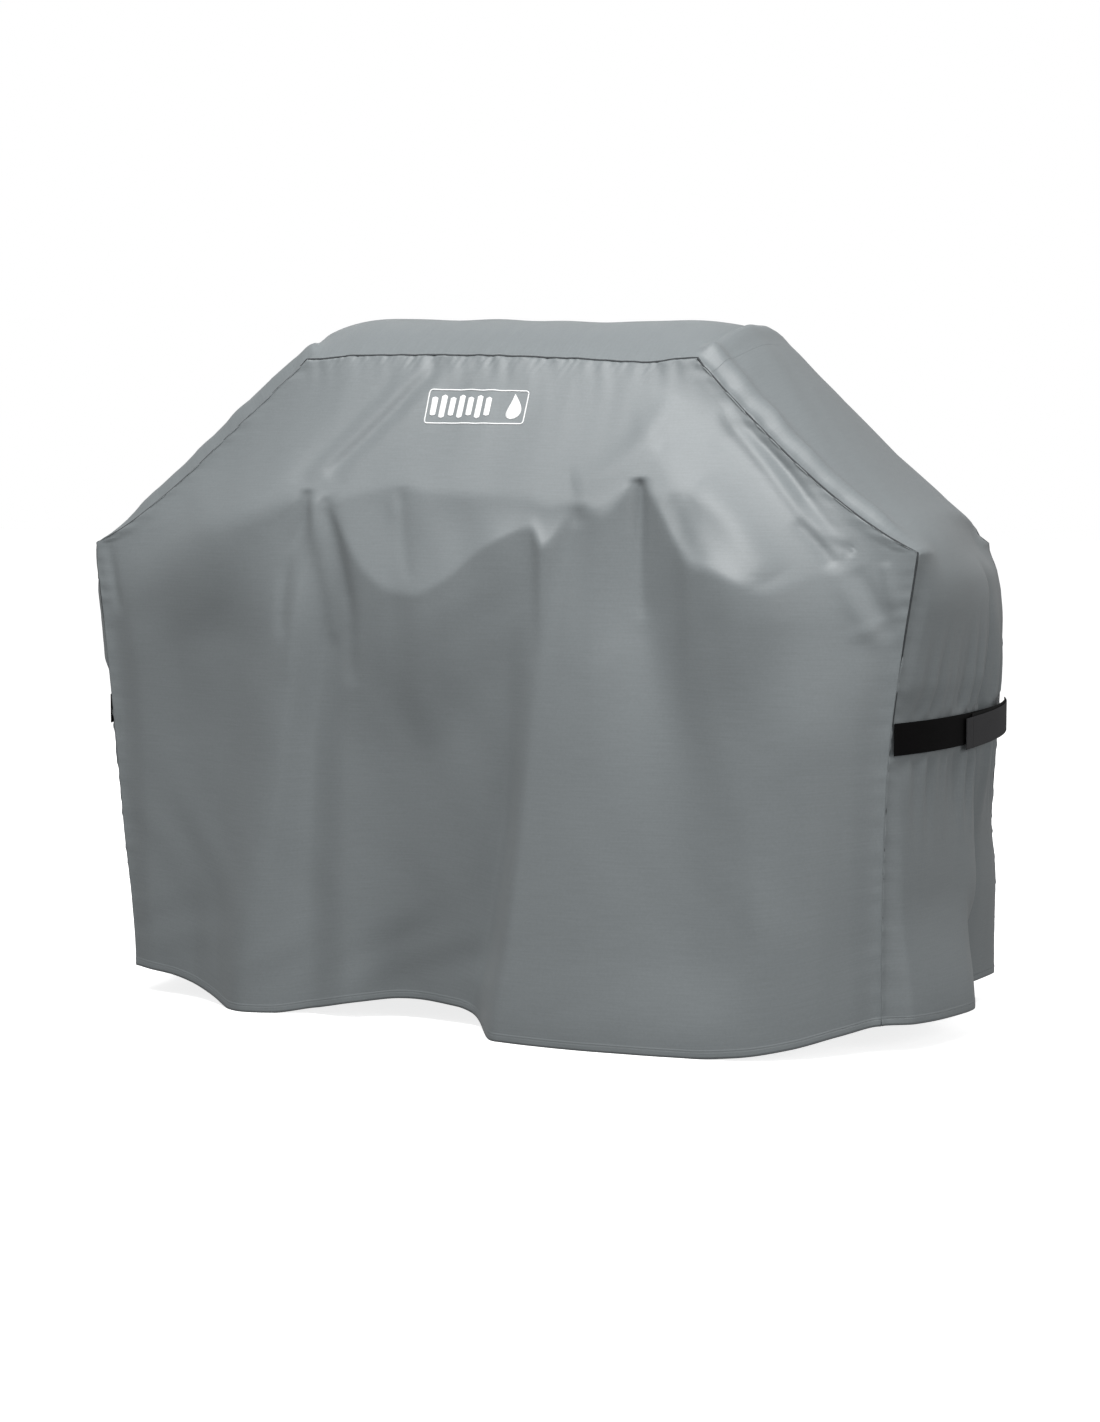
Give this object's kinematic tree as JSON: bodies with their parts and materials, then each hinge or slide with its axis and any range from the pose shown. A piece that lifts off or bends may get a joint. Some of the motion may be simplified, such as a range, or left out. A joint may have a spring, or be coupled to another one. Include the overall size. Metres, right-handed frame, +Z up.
{
  "type": "grill cover",
  "caption": "Draped fabric cover for a gas grill with side tables: sloped shoulders, crowned top, wavy hem and hook-and-loop straps that cinch the sides.",
  "frame": {"origin": "on the floor under the middle of the cover's bounding box, at the height of the hem's lowest bellies", "axes": "+Z up, the front panel faces -Y, +X runs along the width to the right as seen from the front"},
  "size_m": [1.5248, 0.8912, 1.1766],
  "materials": {
    "cover_cloth": "smooth coated polyester, satin, with a faint plain weave",
    "seam_tape": "matt bound seam allowance",
    "loop_webbing": "black brushed loop pile",
    "hook_strap_cloth": "charcoal matt strap",
    "hook_tape": "black moulded hooks on tape",
    "print": "white printed film"
  },
  "bodies": {
    "root": {"front_panel": "cover_cloth", "back_panel": "cover_cloth", "top_panel": "cover_cloth", "right_side_panel": "cover_cloth", "left_side_panel": "cover_cloth", "front_seam_tape": "seam_tape", "back_seam_tape": "seam_tape", "right_cross_seam_tape": "seam_tape", "left_cross_seam_tape": "seam_tape", "front_print": "print"},
    "right_loop": {"right_loop_strap": "loop_webbing"},
    "right_hook": {"right_hook_strap": "hook_strap_cloth", "right_hook_patch": "hook_tape"},
    "right_tab": {"right_pull_tab": "hook_strap_cloth"},
    "left_loop": {"left_loop_strap": "loop_webbing"},
    "left_hook": {"left_hook_strap": "hook_strap_cloth", "left_hook_patch": "hook_tape"},
    "left_tab": {"left_pull_tab": "hook_strap_cloth"}
  },
  "joints": [
    {"name": "right_strap_open", "type": "hinge", "parent": "root", "child": "right_hook", "pos_m": [0.71663, 0.29173, 0.499], "axis": [0, 0, 1], "range_deg": [0, 110]},
    {"name": "right_loop_lift", "type": "hinge", "parent": "root", "child": "right_loop", "pos_m": [0.71193, -0.29173, 0.499], "axis": [0, 0, -1], "range_deg": [0, 27.5]},
    {"name": "right_tab_peel", "type": "hinge", "parent": "right_hook", "child": "right_tab", "pos_m": [0.76155, -0.04, 0.499], "axis": [0, 0, 1], "range_deg": [0, 60]},
    {"name": "left_strap_open", "type": "hinge", "parent": "root", "child": "left_hook", "pos_m": [-0.71663, 0.29173, 0.499], "axis": [0, 0, -1], "range_deg": [0, 110]},
    {"name": "left_loop_lift", "type": "hinge", "parent": "root", "child": "left_loop", "pos_m": [-0.71193, -0.29173, 0.499], "axis": [0, 0, 1], "range_deg": [0, 27.5]},
    {"name": "left_tab_peel", "type": "hinge", "parent": "left_hook", "child": "left_tab", "pos_m": [-0.76155, -0.04, 0.499], "axis": [0, 0, -1], "range_deg": [0, 60]}
  ],
  "couplings": [
    {"joint": "right_loop_lift", "follows": "right_strap_open", "ratio": 0.25},
    {"joint": "left_loop_lift", "follows": "left_strap_open", "ratio": 0.25}
  ]
}
